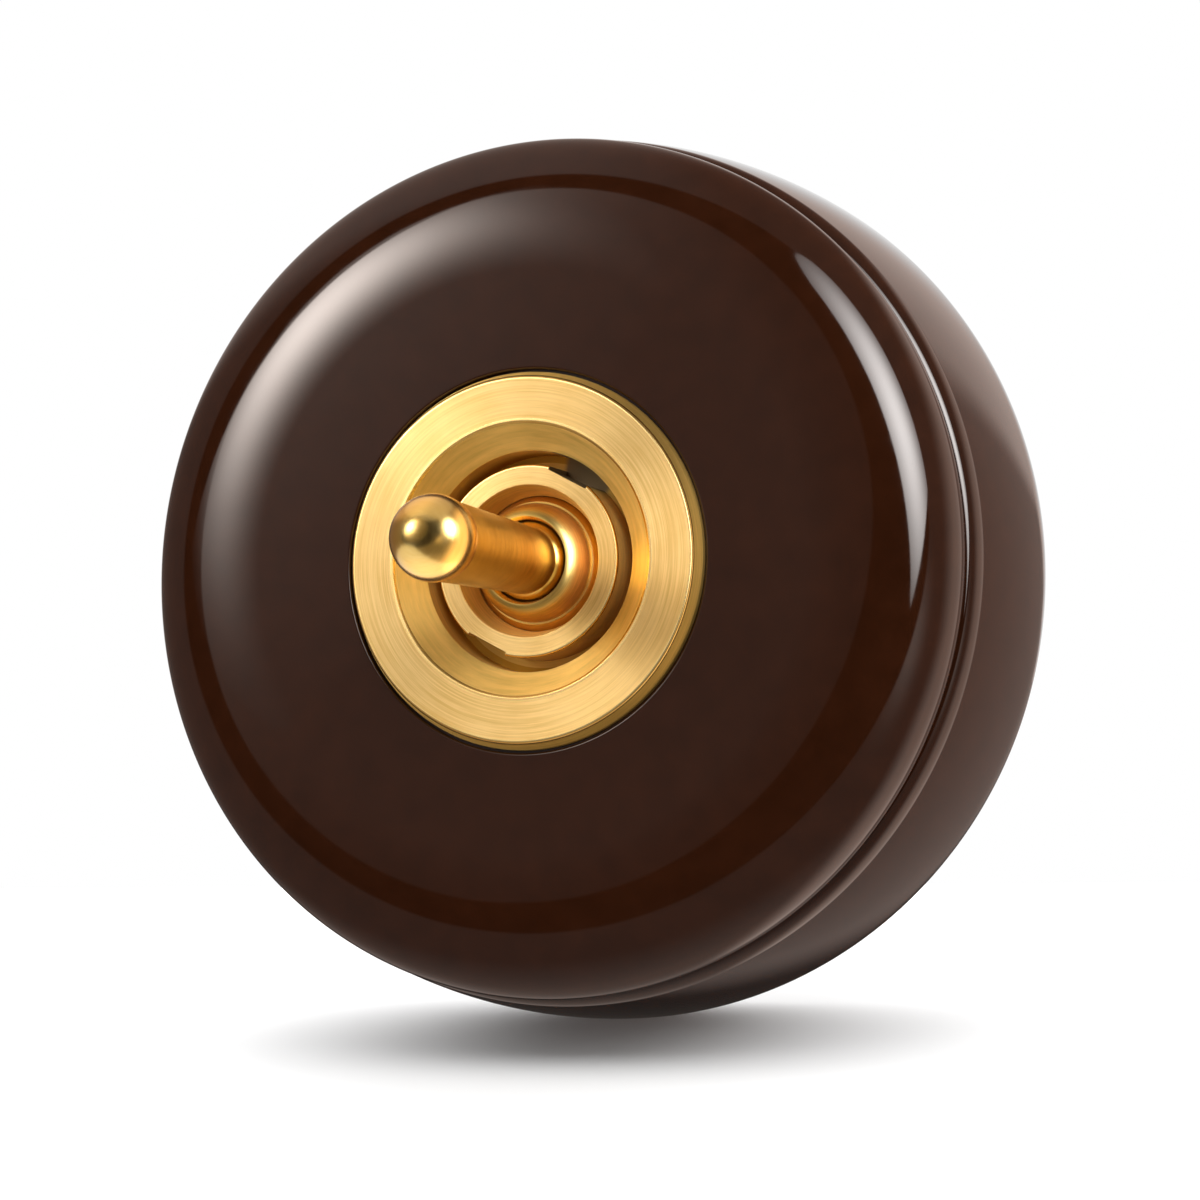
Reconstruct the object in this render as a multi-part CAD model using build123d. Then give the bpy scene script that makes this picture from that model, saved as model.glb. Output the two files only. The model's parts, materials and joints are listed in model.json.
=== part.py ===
"""Round dolly light switch: moulded base and cover, turned brass front, centre-off mechanism.

The bench frame has z out of the wall, y up and x to the right, with the wall face of the base at z = 0.
At the end every piece is turned so that up is +Z and the front faces -Y.
"""
import os
from math import asin, degrees, radians, sin, sqrt

from build123d import *

# Base
base_radius = 40.5
base_widest_height = 8.5
base_back_rounding = 5.2
base_height = 24.0
base_flare = 1.6
base_shoulder = 1.8
base_floor = 3.0
base_wall = 3.4
base_inner_fillet = 2.0
wall_screw_spacing = 50.8
wall_screw_hole_radius = 2.25
cable_entry_radius = 4.5
cable_entry_drop = 27.5

# Cover
cover_inset = 0.4
cover_height = 7.4
cover_flat_radius = 26.0
cover_back_rounding = 2.3
cover_wall = 3.0
cover_inner_fillet = 1.5
cover_lip_height = 2.0
cover_lip_wall = 1.6
cover_lip_clearance = 0.15
counterbore_depth = 0.6

# Face plate
plate_radius = 16.7
plate_proud = 1.2
plate_bevel_width = 0.55
plate_bevel_height = 1.35
plate_clearance = 0.25
cone_radius = 12.2
cone_depth = 2.15
well_radius = 9.8
well_wall = 1.0
well_floor = 1.2
well_clearance = 0.2

# Ring nut
nut_radius = 8.55
nut_height = 4.2
nut_recess = 1.8
nut_mouth_radius = 6.75
nut_mouth_depth = 2.4
nut_edge = 0.15
notch_width = 4.0
notch_depth = 0.55
notch_angle = 62.0

# Bushing
thread_radius = 6.0
thread_clearance = 0.05
bushing_flange_radius = 7.6
bushing_flange = 1.0
lip_drop = 1.2
lip_height = 2.6
lip_crest_radius = 3.9
lip_foot_radius = 5.3
hole_radius = 3.65
slot_radius = 4.8

# Dolly
dolly_end_radius = 3.7
dolly_stem_radius = 3.5
dolly_neck_radius = 3.0
dolly_reach = 21.95
dolly_swing = 12.0
pivot_drop = 3.8
ball_radius = 4.1
ball_clearance = 0.15
tail_radius = 2.6
tail_length = 6.6
pivot_pin_radius = 0.8
pivot_pin_inset = 0.2
pin_clearance = 0.1

# Plunger and its spring
plunger_reach = 8.35
plunger_radius = 2.0
plunger_length = 4.8
plunger_wall = 0.5
plunger_nose = 1.7
plunger_floor = 1.25
plunger_clearance = 0.1
bore_depth = 5.0
spring_wire_radius = 0.2
spring_turns = 6
spring_clearance = 0.12

# Rocker
rocker_ratio = 0.6
rocker_half_length = 11.6
rocker_half_width = 3.1
rocker_end_flat = 0.31
rocker_dip = 0.25
rocker_dip_radius = 2.5
ear_thickness = 1.0
ear_radius = 1.6
hub_drop = 1.8
rocker_pin_radius = 0.7
running_gap = 0.2

# Contacts and terminals
strip = 1.2
tip_reach = 10.0
tip_radius = 1.5
tip_height = 0.7
tip_dome = 0.3
closed_gap = 0.15
contact_width = 5.0
contact_start = 7.6
post_gap = 0.3
post_radius = 1.4
bar_width = 4.0
bar_clearance = 0.1
pillar_side = 6.4
pillar_height = 7.0
pillar_chamfer = 0.4
wire_hole_radius = 1.6
wire_hole_height = 2.6
contact_pillar_reach = 17.5
common_pillar_x = 8.2
common_pillar_y = -13.5

# Insulating block and bridge
block_width = 41.0
block_length = 42.0
block_thickness = 5.0
block_corner = 3.0
boss_radius = 3.6
boss_x = 9.0
boss_y = 13.0
bridge_gap = 1.35
bridge_leg_x = 13.5
bridge_foot_end = 20.0
bridge_width = 18.0
bend_radius = 0.5
bridge_screw_x = 16.8
earth_pillar_y = -13.2

# Screws
screw_radius = 1.5
screw_head_radius = 2.5
screw_head_height = 1.8
screw_slot_width = 0.7
screw_slot_depth = 0.9
screw_fit = 0.05
block_screw_depth = 3.0
bridge_screw_depth = 3.5
clamp_screw_depth = 3.2

# Heights above the wall, from the front of the switch inwards
rim_z = base_height
front_z = rim_z + cover_height
plate_z = front_z + plate_proud
plate_seat_z = front_z - counterbore_depth
nut_z = plate_z - nut_recess
well_z = nut_z - nut_height
well_back_z = well_z - well_floor
pivot_z = plate_z - pivot_drop
lip_z = plate_z - lip_drop
bridge_z = well_back_z - bridge_gap
bridge_back_z = bridge_z - strip
bushing_back_z = bridge_back_z - bushing_flange
tail_z = pivot_z - tail_length
bore_z = tail_z + bore_depth
nose_z = pivot_z - plunger_reach
rocker_z = nose_z + rocker_dip - running_gap
rocker_back_z = rocker_z - strip
hub_z = rocker_back_z - hub_drop
contact_gap = tip_reach * sin(radians(rocker_ratio * dolly_swing)) + closed_gap
fixed_tip_z = rocker_back_z - tip_height - contact_gap
contact_z = fixed_tip_z - tip_height
block_z = contact_z - strip
block_back_z = block_z - block_thickness

# Fits that more than one piece shares
base_rim_radius = base_radius - base_flare
base_inner_radius = base_rim_radius - base_wall
cover_radius = base_rim_radius - cover_inset
seat_radius = ball_radius + ball_clearance
plunger_bore_radius = plunger_radius + plunger_clearance
post_half_width = rocker_half_width - ear_thickness - post_gap
boss_places = [(-boss_x, -boss_y), (boss_x, boss_y)]
rest_places = [(-boss_x, boss_y), (boss_x, -boss_y)]
bridge_screw_places = [(-bridge_screw_x, 0), (bridge_screw_x, 0)]
foot_middle_x = (bridge_leg_x + bridge_foot_end) / 2

# Two points closer than this are one point
same_place = 1e-6


def spin(outline):
    """Turn a closed outline of (radius, height) edges about the switch's axis."""
    return revolve(Plane.XZ * make_face(outline.edges()), Axis.Z)


def spin_points(*points):
    """Turn a closed outline of straight (radius, height) edges about the switch's axis."""
    return spin(Polyline(*points, close=True))


def disc(radius, bottom, top, x=0, y=0):
    """A cylinder between two heights."""
    return Pos(x, y, bottom) * Cylinder(radius, top - bottom, align=(Align.CENTER, Align.CENTER, Align.MIN))


def slab(x_low, x_high, y_low, y_high, bottom, top):
    """A block between two heights."""
    corner = (Align.MIN, Align.MIN, Align.MIN)
    return Pos(x_low, y_low, bottom) * Box(x_high - x_low, y_high - y_low, top - bottom, align=corner)


def cross_pin(radius, half_length, height):
    """A round bar along x through the switch's axis."""
    return Pos(0, 0, height) * Rot(0, 90, 0) * Cylinder(radius, 2 * half_length)


def make_base():
    """Moulded back box: flared side, front shoulder, screw bosses, cable entry."""
    shoulder = (base_rim_radius, rim_z)
    widest = (base_radius, base_widest_height)
    side = TangentArc(widest, shoulder, tangent=(0, 1))
    back_radius = base_radius - base_back_rounding
    back_centre = (back_radius, base_widest_height)
    back = EllipticalCenterArc(back_centre, base_back_rounding, base_widest_height, -90, arc_size=90)
    ends = Polyline(shoulder, (0, rim_z), (0, 0), (back_radius, 0))
    box = spin(side + back + ends)
    rim_edge = box.edges().filter_by(GeomType.CIRCLE).group_by(Axis.Z)[-1]
    box = fillet(rim_edge, base_shoulder)
    cavity = disc(base_inner_radius, base_floor, rim_z)
    cavity = fillet(cavity.edges().group_by(Axis.Z)[0], base_inner_fillet)
    box -= cavity
    for x, y in boss_places + rest_places:
        box += disc(boss_radius, base_floor, block_back_z, x, y)
    for x, y in boss_places:
        box -= disc(screw_radius + screw_fit, block_back_z - block_screw_depth, block_back_z, x, y)
    for side_x in (-wall_screw_spacing / 2, wall_screw_spacing / 2):
        box -= disc(wall_screw_hole_radius, 0, base_floor, side_x)
    return box - disc(cable_entry_radius, 0, base_floor, 0, -cable_entry_drop)


def make_cover():
    """Moulded lid: flat front, elliptical front rounding, counterbore and locating lip."""
    side_z = rim_z + cover_back_rounding
    front_width = cover_radius - cover_flat_radius
    front = EllipticalCenterArc((cover_flat_radius, side_z), front_width, front_z - side_z, arc_size=90)
    back_centre = (cover_radius - cover_back_rounding, side_z)
    back = CenterArc(back_centre, cover_back_rounding, -90, 90)
    ends = Polyline((cover_flat_radius, front_z), (0, front_z), (0, rim_z), (back_centre[0], rim_z))
    lid = spin(front + back + ends)
    lip_radius = base_inner_radius - cover_lip_clearance
    lip_back_z = rim_z - cover_lip_height
    lid += disc(lip_radius, lip_back_z, rim_z)
    cavity = disc(lip_radius - cover_lip_wall, lip_back_z, front_z - cover_wall)
    cavity = fillet(cavity.edges().group_by(Axis.Z)[-1], cover_inner_fillet)
    lid -= cavity
    lid -= disc(plate_radius + plate_clearance, plate_seat_z, front_z)
    return lid - disc(well_radius + well_wall + well_clearance, rim_z, front_z)


def make_face_plate():
    """Turned brass dish: bevelled flange, cone, and a well with a hole for the bushing."""
    well_outer = well_radius + well_wall
    thread_hole = thread_radius + thread_clearance
    return spin_points(
        (plate_radius, plate_seat_z),
        (plate_radius, plate_z - plate_bevel_height),
        (plate_radius - plate_bevel_width, plate_z),
        (cone_radius, plate_z),
        (well_radius, plate_z - cone_depth),
        (well_radius, well_z),
        (thread_hole, well_z),
        (thread_hole, well_back_z),
        (well_outer, well_back_z),
        (well_outer, plate_seat_z),
    )


def make_ring_nut():
    """Brass ring nut: coned mouth and two spanner notches in its side."""
    thread_hole = thread_radius + thread_clearance
    nut = spin_points(
        (nut_radius, well_z),
        (nut_radius, nut_z - nut_edge),
        (nut_radius - nut_edge, nut_z),
        (nut_mouth_radius, nut_z),
        (thread_hole, nut_z - nut_mouth_depth),
        (thread_hole, well_z),
    )
    notch_floor = nut_radius - notch_depth
    half_width = notch_width / 2
    notch = slab(notch_floor, nut_radius + notch_depth, -half_width, half_width, well_z, nut_z)
    for turn in (notch_angle, notch_angle + 180):
        nut -= Rot(0, 0, turn) * notch
    return nut


def make_bushing():
    """Brass bushing: flange under the bridge, ball seat, slots for the pin, domed lip."""
    hole_z = pivot_z + sqrt(seat_radius**2 - hole_radius**2)
    seat_start = degrees(asin((hole_z - pivot_z) / seat_radius))
    seat = CenterArc((0, pivot_z), seat_radius, 0, seat_start)
    lip_foot_z = lip_z - lip_height
    lip_width = lip_foot_radius - lip_crest_radius
    lip = EllipticalCenterArc((lip_crest_radius, lip_foot_z), lip_width, lip_height, arc_size=90)
    mouth = Line(seat @ 1, lip @ 1)
    outside = Polyline(
        lip @ 0,
        (thread_radius, lip_foot_z - (thread_radius - lip_foot_radius)),
        (thread_radius, bridge_back_z),
        (bushing_flange_radius, bridge_back_z),
        (bushing_flange_radius, bushing_back_z),
        (seat_radius, bushing_back_z),
        seat @ 0,
    )
    tube = spin(seat + mouth + lip + outside)
    slot_half = pivot_pin_radius + screw_fit
    tube -= slab(-slot_radius, slot_radius, -slot_half, slot_half, bushing_back_z, pivot_z)
    return tube - cross_pin(slot_half, slot_radius, pivot_z)


def make_dolly():
    """Turned brass lever: ball end, tapered stem, pivot ball, bored tail."""
    end_z = pivot_z + dolly_reach
    stem_z = end_z - sqrt(dolly_end_radius**2 - dolly_stem_radius**2)
    neck_z = pivot_z + sqrt(ball_radius**2 - dolly_neck_radius**2)
    tail_join_z = pivot_z - sqrt(ball_radius**2 - tail_radius**2)
    end_turn = degrees(asin((stem_z - end_z) / dolly_end_radius))
    neck_turn = degrees(asin((neck_z - pivot_z) / ball_radius))
    tail_turn = degrees(asin((tail_join_z - pivot_z) / ball_radius))
    end = CenterArc((0, end_z), dolly_end_radius, end_turn, 90 - end_turn)
    stem = Line((dolly_neck_radius, neck_z), end @ 0)
    ball = CenterArc((0, pivot_z), ball_radius, tail_turn, neck_turn - tail_turn)
    tail = Polyline(ball @ 0, (tail_radius, tail_z), (0, tail_z), end @ 1)
    lever = spin(end + stem + ball + tail)
    lever -= disc(plunger_bore_radius, tail_z, bore_z)
    return lever - cross_pin(pivot_pin_radius + pin_clearance, ball_radius, pivot_z)


def make_plunger():
    """Insulating thimble with a rounded nose, hollow for the spring."""
    thimble = disc(plunger_radius, nose_z, nose_z + plunger_length)
    thimble = fillet(thimble.edges().group_by(Axis.Z)[0], plunger_nose)
    hollow_radius = plunger_radius - plunger_wall
    return thimble - disc(hollow_radius, nose_z + plunger_floor, nose_z + plunger_length)


def make_plunger_spring():
    """Compression coil between the plunger's floor and the end of the dolly's bore."""
    coil_radius = plunger_radius - plunger_wall - spring_clearance - spring_wire_radius
    bottom = nose_z + plunger_floor + spring_wire_radius
    height = bore_z - spring_wire_radius - bottom
    path = Helix(height / spring_turns, height, coil_radius, center=(0, 0, bottom))
    section = Plane(origin=path @ 0, z_dir=path % 0) * Circle(spring_wire_radius)
    return sweep(section, path=path, is_frenet=True)


def make_bridge():
    """Folded strap: top with the bushing's hole, two legs, two feet and the earth tab."""
    leg_out = bridge_leg_x
    leg_in = bridge_leg_x - strip
    foot_z = block_z + strip
    half = [
        (bridge_foot_end, foot_z),
        (bridge_foot_end, block_z),
        (leg_in, block_z),
        (leg_in, bridge_back_z),
    ]
    other_half = [(-x, z) for x, z in reversed(half)]
    top = [(-leg_out, foot_z), (-leg_out, bridge_z), (leg_out, bridge_z), (leg_out, foot_z)]
    profile = make_face(Polyline(*half, *other_half, *top, close=True).edges())
    inner_bends = profile.vertices().filter_by(lambda v: is_inner_bend(v, leg_in, leg_out, foot_z))
    profile = fillet(inner_bends, bend_radius)
    outer_bends = profile.vertices().filter_by(lambda v: is_outer_bend(v, leg_in, leg_out))
    profile = fillet(outer_bends, bend_radius + strip)
    strap = extrude(Plane.XZ * profile, bridge_width / 2, both=True)
    tab_end = earth_pillar_y - pillar_side / 2
    strap += slab(-bridge_foot_end, -leg_out - bend_radius, tab_end, 0, block_z, foot_z)
    strap -= disc(thread_radius + thread_clearance, bridge_back_z, bridge_z)
    for x, y in bridge_screw_places:
        strap -= disc(screw_radius + screw_fit, block_z, foot_z, x, y)
    return strap


def is_corner(vertex, side_x, height):
    """True at a corner of the strap's profile, on its left or right side."""
    return abs(abs(vertex.X) - side_x) < same_place and abs(vertex.Y - height) < same_place


def is_inner_bend(vertex, leg_in, leg_out, foot_z):
    """True at the hollow side of a fold of the strap."""
    return is_corner(vertex, leg_in, bridge_back_z) or is_corner(vertex, leg_out, foot_z)


def is_outer_bend(vertex, leg_in, leg_out):
    """True at the full side of a fold of the strap."""
    return is_corner(vertex, leg_out, bridge_z) or is_corner(vertex, leg_in, block_z)


def common_bar(growth):
    """The flat L of the common terminal, sunk in the block, grown by a clearance."""
    half = bar_width / 2 + growth
    deep_z = block_z - strip
    across = slab(-half, common_pillar_x + half, -half, half, deep_z, block_z)
    down = slab(common_pillar_x - half, common_pillar_x + half, common_pillar_y - half, half, deep_z, block_z)
    return across + down


def make_mechanism_block():
    """Insulating block with the sunk channel of the common terminal and its screw holes."""
    outline = RectangleRounded(block_width, block_length, block_corner)
    block = extrude(Pos(0, 0, block_back_z) * outline, block_thickness)
    block -= common_bar(bar_clearance)
    for x, y in boss_places:
        block -= disc(screw_radius + screw_fit, block_back_z, block_z, x, y)
    for x, y in bridge_screw_places:
        block -= disc(screw_radius + screw_fit, block_z - bridge_screw_depth, block_z, x, y)
    return block


def pillar(x, y, bottom, wire_turn):
    """Wire pillar: square post with a wire hole and a clamp screw's hole."""
    half = pillar_side / 2
    post = slab(x - half, x + half, y - half, y + half, bottom, bottom + pillar_height)
    post = chamfer(post.faces().sort_by(Axis.Z)[-1].edges(), pillar_chamfer)
    wire = Pos(x, y, bottom + wire_hole_height) * Rot(0, 0, wire_turn) * Rot(90, 0, 0)
    post -= wire * Cylinder(wire_hole_radius, 2 * pillar_side)
    top = bottom + pillar_height
    return post - disc(screw_radius + screw_fit, top - clamp_screw_depth, top, x, y)


def make_rocker():
    """See-saw strip with two ears on its pin and a shallow dip for the plunger."""
    corner = rocker_half_width - rocker_end_flat
    plan = RectangleRounded(2 * rocker_half_width, 2 * rocker_half_length, corner)
    see_saw = extrude(Pos(0, 0, rocker_back_z) * plan, strip)
    dip_axis_z = rocker_z - rocker_dip + rocker_dip_radius
    see_saw -= cross_pin(rocker_dip_radius, rocker_half_width, dip_axis_z)
    for side_x in (-rocker_half_width, rocker_half_width - ear_thickness):
        see_saw += slab(side_x, side_x + ear_thickness, -ear_radius, ear_radius, hub_z, rocker_back_z)
        round_end = Pos(side_x + ear_thickness / 2, 0, hub_z) * Rot(0, 90, 0)
        see_saw += round_end * Cylinder(ear_radius, ear_thickness)
    return see_saw - cross_pin(rocker_pin_radius + pin_clearance, rocker_half_width, hub_z)


def make_common_terminal():
    """Brass bar with the rocker's post at one end and a wire pillar at the other."""
    bar = common_bar(0)
    bar += slab(-post_half_width, post_half_width, -post_radius, post_radius, block_z - strip, hub_z)
    bar += cross_pin(post_radius, post_half_width, hub_z)
    bar += pillar(common_pillar_x, common_pillar_y, block_z, 0)
    return bar - cross_pin(rocker_pin_radius + screw_fit, post_half_width, hub_z)


def make_fixed_contact(turn):
    """Brass strip under one end of the rocker, with its wire pillar."""
    half = contact_width / 2
    blade = slab(-half, half, contact_start, contact_pillar_reach, block_z, contact_z)
    blade += pillar(0, contact_pillar_reach, block_z, 0)
    return Rot(0, 0, turn) * blade


def make_rocker_tips():
    """Two domed contact tips under the rocker's ends."""
    dome_radius = (tip_radius**2 + tip_dome**2) / (2 * tip_dome)
    dome_turn = degrees(asin(tip_radius / dome_radius))
    low_z = rocker_back_z - tip_height
    dome = CenterArc((0, low_z + dome_radius), dome_radius, -90, dome_turn)
    ends = Polyline(dome @ 1, (tip_radius, rocker_back_z), (0, rocker_back_z), dome @ 0)
    tip = spin(dome + ends)
    return [Pos(0, y, 0) * tip for y in (-tip_reach, tip_reach)]


def make_fixed_tips():
    """Two flat contact tips on the fixed contacts."""
    return [disc(tip_radius, contact_z, fixed_tip_z, 0, y) for y in (-tip_reach, tip_reach)]


def screw(x, y, seat_z, depth):
    """Slotted cheese-head screw, seated on a face."""
    top = seat_z + screw_head_height
    body = disc(screw_head_radius, seat_z, top, x, y) + disc(screw_radius, seat_z - depth, seat_z, x, y)
    half = screw_slot_width / 2
    reach = screw_head_radius
    return body - slab(x - reach, x + reach, y - half, y + half, top - screw_slot_depth, top)


def make_terminal_screws():
    """Four clamp screws, one in each wire pillar."""
    top = block_z + pillar_height
    places = [
        (common_pillar_x, common_pillar_y, top),
        (0, contact_pillar_reach, top),
        (0, -contact_pillar_reach, top),
        (-foot_middle_x, earth_pillar_y, top + strip),
    ]
    return [screw(x, y, z, clamp_screw_depth) for x, y, z in places]


pieces = {
    "base": make_base(),
    "cover": make_cover(),
    "face_plate": make_face_plate(),
    "ring_nut": make_ring_nut(),
    "bushing": make_bushing(),
    "dolly": make_dolly(),
    "pivot_pin": cross_pin(pivot_pin_radius, slot_radius - pivot_pin_inset, pivot_z),
    "plunger": make_plunger(),
    "plunger_spring": make_plunger_spring(),
    "bridge": make_bridge(),
    "bridge_screws": [screw(x, y, block_z + strip, bridge_screw_depth) for x, y in bridge_screw_places],
    "mechanism_block": make_mechanism_block(),
    "block_screws": [screw(x, y, block_z, block_thickness + block_screw_depth) for x, y in boss_places],
    "rocker": make_rocker(),
    "rocker_tips": make_rocker_tips(),
    "rocker_pin": cross_pin(rocker_pin_radius, rocker_half_width, hub_z),
    "common_terminal": make_common_terminal(),
    "upper_contact": make_fixed_contact(0),
    "lower_contact": make_fixed_contact(180),
    "fixed_tips": make_fixed_tips(),
    "earth_terminal": pillar(-foot_middle_x, earth_pillar_y, block_z + strip, 0),
    "terminal_screws": make_terminal_screws(),
}

on_wall = Plane(origin=(0, 0, 0), x_dir=(1, 0, 0), z_dir=(0, -1, 0)).location
os.makedirs("parts", exist_ok=True)
for name, piece in pieces.items():
    solids = piece if isinstance(piece, list) else [piece]
    placed = [on_wall * solid for solid in solids]
    shape = placed[0] if len(placed) == 1 else Compound(children=placed)
    export_step(shape, os.path.join("parts", name + ".step"))
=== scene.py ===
"""Looks of the round dolly light switch: glossy brown moulding, turned brass front, soft studio light.

Outlines are (radius, height) points in millimetres, with the height measured out of the wall. They are
turned about the switch's axis, which runs along -Y of the frame.
"""
import json
from math import acos, asin, atan2, cos, degrees, hypot, pi, radians, sin, sqrt, tan

import bmesh
import bpy
from mathutils import Matrix, Vector


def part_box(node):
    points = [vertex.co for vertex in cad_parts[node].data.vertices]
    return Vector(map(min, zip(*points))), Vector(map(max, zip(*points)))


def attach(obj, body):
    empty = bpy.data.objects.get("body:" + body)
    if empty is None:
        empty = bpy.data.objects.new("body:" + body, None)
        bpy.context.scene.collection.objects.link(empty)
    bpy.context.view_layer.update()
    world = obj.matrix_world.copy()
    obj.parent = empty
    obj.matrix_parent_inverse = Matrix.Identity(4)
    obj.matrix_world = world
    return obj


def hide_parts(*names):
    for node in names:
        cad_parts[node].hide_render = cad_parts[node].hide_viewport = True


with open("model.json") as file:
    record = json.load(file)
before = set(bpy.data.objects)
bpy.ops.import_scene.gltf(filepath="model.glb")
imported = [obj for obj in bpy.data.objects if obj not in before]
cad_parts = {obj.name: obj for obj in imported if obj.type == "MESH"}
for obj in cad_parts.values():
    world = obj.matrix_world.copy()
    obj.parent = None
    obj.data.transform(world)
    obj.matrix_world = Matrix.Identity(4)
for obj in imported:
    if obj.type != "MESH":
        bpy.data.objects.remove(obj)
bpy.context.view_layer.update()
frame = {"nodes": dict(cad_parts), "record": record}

MM = 0.001


def reach(node):
    """Outer radius, back height and front height of a turned node, in millimetres."""
    low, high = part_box(node)
    return high.x / MM, -high.y / MM, -low.y / MM


base_radius, _, base_front = reach("base")
cover_radius, cover_back, cover_front = reach("cover")
plate_radius, plate_back, plate_front = reach("face_plate")
nut_radius, nut_back, nut_front = reach("ring_nut")
flange_radius, bushing_back, lip_front = reach("bushing")
pivot_ball_radius, dolly_back, dolly_front = reach("dolly")

# Base
base_flare = 1.6
base_widest_height = 8.5
base_back_rounding = 5.2
base_shoulder = 1.8
base_floor = 3.0
base_wall = 3.4
base_inner_fillet = 2.0
wall_screw_reach = 25.4
wall_screw_hole_radius = 2.25
cable_entry_radius = 4.5
cable_entry_drop = 27.5
boss_radius = 3.6
boss_places = [(-9.0, -13.0), (9.0, 13.0), (-9.0, 13.0), (9.0, -13.0)]
boss_front = reach("mechanism_block")[1]

# Cover
cover_flat_radius = 26.0
cover_back_rounding = 2.3
cover_wall = 3.0
cover_inner_fillet = 1.5
cover_lip_wall = 1.6
cover_lip_clearance = 0.15
counterbore_depth = 0.6
counterbore_edge = 0.22
plate_clearance = 0.25
well_clearance = 0.2

# Face plate
plate_bevel_width = 0.55
plate_bevel_height = 1.35
plate_edge = 0.3
cone_radius = 12.2
cone_depth = 2.15
well_radius = 9.8
well_wall = 1.0
cone_edge = 0.12

# Ring nut
nut_mouth_radius = 6.75
nut_mouth_depth = 2.4
nut_edge = 0.2
notch_width = 4.0
notch_depth = 0.55
notch_angle = 62.0
notch_shade_turns = (17.0, 13.0)
notch_shade_margin = 0.1

# Bushing
thread_radius = 6.0
thread_clearance = 0.05
bushing_flange = 1.0
lip_height = 2.6
lip_crest_radius = 3.9
lip_foot_radius = 5.3
hole_radius = 3.65
hole_edge = 0.12
slot_radius = 4.8
slot_half_width = 0.85
lip_land = 0.18
# How far the bushing's lip counts as sunk, so that it takes the painted shade of sunk faces.
lip_shade_offset = 0.3
seat_clearance = 0.15

# Turned fronts
dome_angle = 3.5
polished_edge = (0.18, 0.26)
polished_depth = (0.2, 0.3)
smallest_radius = 0.05

# Dolly
dolly_end_radius = 3.7
dolly_stem_radius = 3.5
dolly_neck_radius = 3.0
tail_radius = 2.6
tail_length = 6.6
plunger_bore_radius = 2.1
plunger_bore_depth = 5.0
pivot_pin_hole_radius = 0.9
polish_start = 1.3
polish_full = 0.9

pivot_height = dolly_back + tail_length
end_height = dolly_front - dolly_end_radius

# Mesh fineness
turns_large = 360
turns_small = 240
sharp_angle = radians(28)
support = 0.03
shortest_supported = 0.25
on_axis = 1e-6


def arc(centre, across, along, start, end, steps):
    """Points of an elliptical arc, angles in degrees from the outward direction."""
    turns = [radians(start + (end - start) * step / steps) for step in range(steps + 1)]
    return [(centre[0] + across * cos(turn), centre[1] + along * sin(turn)) for turn in turns]


def rounded_corner(before, corner, after, radius, steps=6):
    """Points of a small arc in place of a corner."""
    here = Vector(corner)
    back = (Vector(before) - here).normalized()
    ahead = (Vector(after) - here).normalized()
    half = acos(max(-1.0, min(1.0, back.dot(ahead)))) / 2
    centre = here + (back + ahead).normalized() * (radius / sin(half))
    first = here + back * (radius / tan(half)) - centre
    last = here + ahead * (radius / tan(half)) - centre
    start = atan2(first.y, first.x)
    sweep = atan2(first.x * last.y - first.y * last.x, first.dot(last))
    turns = [start + sweep * step / steps for step in range(steps + 1)]
    return [(centre.x + radius * cos(turn), centre.y + radius * sin(turn)) for turn in turns]


def outline(corners):
    """A closed outline from (radius, height) or (radius, height, rounding) corners."""
    points = []
    for index, corner in enumerate(corners):
        if len(corner) == 2:
            points.append(tuple(corner))
            continue
        before = corners[index - 1][:2]
        after = corners[(index + 1) % len(corners)][:2]
        points += rounded_corner(before, corner[:2], after, corner[2])
    return supported(points)


def supported(points):
    """Adds a point close to each end of a long straight run, so that flat faces stay flat in the light."""
    result = []
    for here, after in zip(points, points[1:] + points[:1]):
        result.append(here)
        run = Vector(after) - Vector(here)
        if run.length > shortest_supported:
            step = run.normalized() * support
            result.append((here[0] + step.x, here[1] + step.y))
            result.append((after[0] - step.x, after[1] - step.y))
    return result


def turned(name, points, turns):
    """A new object: the closed outline turned about the switch's axis."""
    vertices = []
    rings = []
    for radius, height in points:
        first = len(vertices)
        count = 1 if radius < on_axis else turns
        for step in range(count):
            angle = 2 * pi * step / turns
            vertices.append((radius * cos(angle) * MM, -height * MM, radius * sin(angle) * MM))
        rings.append([first + step for step in range(count)])
    faces = []
    for ring, after in zip(rings, rings[1:] + rings[:1]):
        if len(ring) == 1 and len(after) == 1:
            continue
        for step in range(turns):
            ahead = (step + 1) % turns
            corners = [ring[step % len(ring)], ring[ahead % len(ring)]]
            corners += [after[ahead % len(after)], after[step % len(after)]]
            faces.append(list(dict.fromkeys(corners)))
    mesh = bpy.data.meshes.new(name)
    mesh.from_pydata(vertices, [], faces)
    return smoothed(linked(name, mesh))


def linked(name, data):
    """A new object of a mesh, a lamp or a camera, in the scene."""
    item = bpy.data.objects.new(name, data)
    bpy.context.scene.collection.objects.link(item)
    return item


def smoothed(piece):
    """Faces the mesh outwards, shades it smooth and keeps its sharp edges."""
    work = bmesh.new()
    work.from_mesh(piece.data)
    bmesh.ops.recalc_face_normals(work, faces=work.faces)
    for face in work.faces:
        face.smooth = True
    for edge in work.edges:
        edge.smooth = edge.calc_face_angle(0.0) < sharp_angle
    work.to_mesh(piece.data)
    work.free()
    return piece


def rod(radius, low, high, x=0.0, y=0.0, turns=64):
    """A cylinder along the switch's axis, to cut or add with."""
    shape = turned("rod", [(0, low), (radius, low), (radius, high), (0, high)], turns)
    shape.data.transform(Matrix.Translation((x * MM, 0, y * MM)))
    return shape


def cross_rod(radius, half_length, height, turns=48):
    """A cylinder across the switch's axis, along X."""
    points = [(0, -half_length), (radius, -half_length), (radius, half_length), (0, half_length)]
    shape = turned("rod", points, turns)
    shape.data.transform(Matrix.Translation((0, -height * MM, 0)) @ Matrix.Rotation(pi / 2, 4, "Z"))
    return shape


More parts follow.
